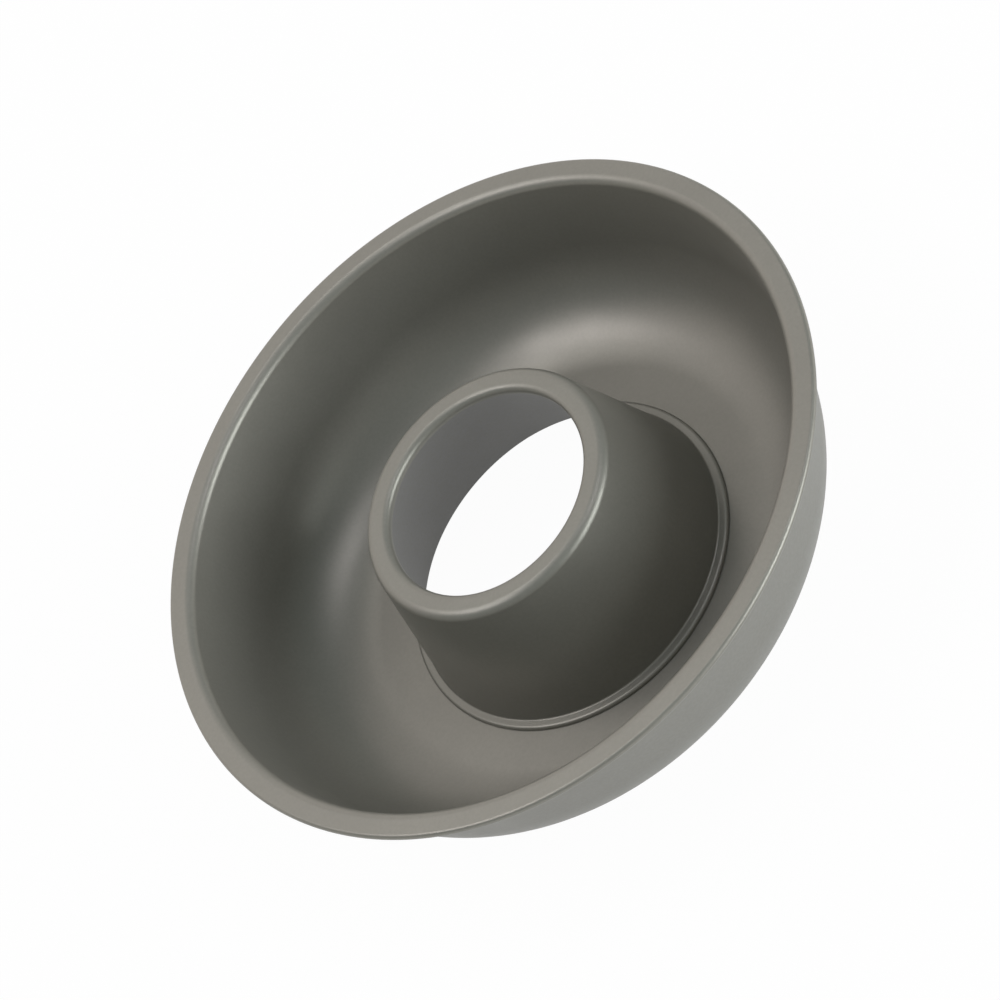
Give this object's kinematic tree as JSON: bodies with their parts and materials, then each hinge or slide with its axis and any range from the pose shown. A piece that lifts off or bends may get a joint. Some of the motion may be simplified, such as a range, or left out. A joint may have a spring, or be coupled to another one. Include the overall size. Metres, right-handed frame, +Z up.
{
  "type": "angel food cake pan",
  "caption": "Shallow ring-shaped baking pan with a curved bowl, a flat hemmed rim and an open tapered tube crimped into the floor.",
  "frame": {"origin": "middle of the base, on the surface the pan stands on", "axes": "+Z up along the pan's and the tube's common axis; +X and +Y are any two square directions across it, because the pan is round"},
  "size_m": [0.2462, 0.2462, 0.0608],
  "materials": {
    "bowl_coating": "satin warm grey non-stick coating on steel sheet",
    "tube_coating": "satin warm grey non-stick coating on steel sheet"
  },
  "bodies": {
    "root": {"pan_shell": "bowl_coating", "center_tube": "tube_coating"}
  },
  "joints": []
}
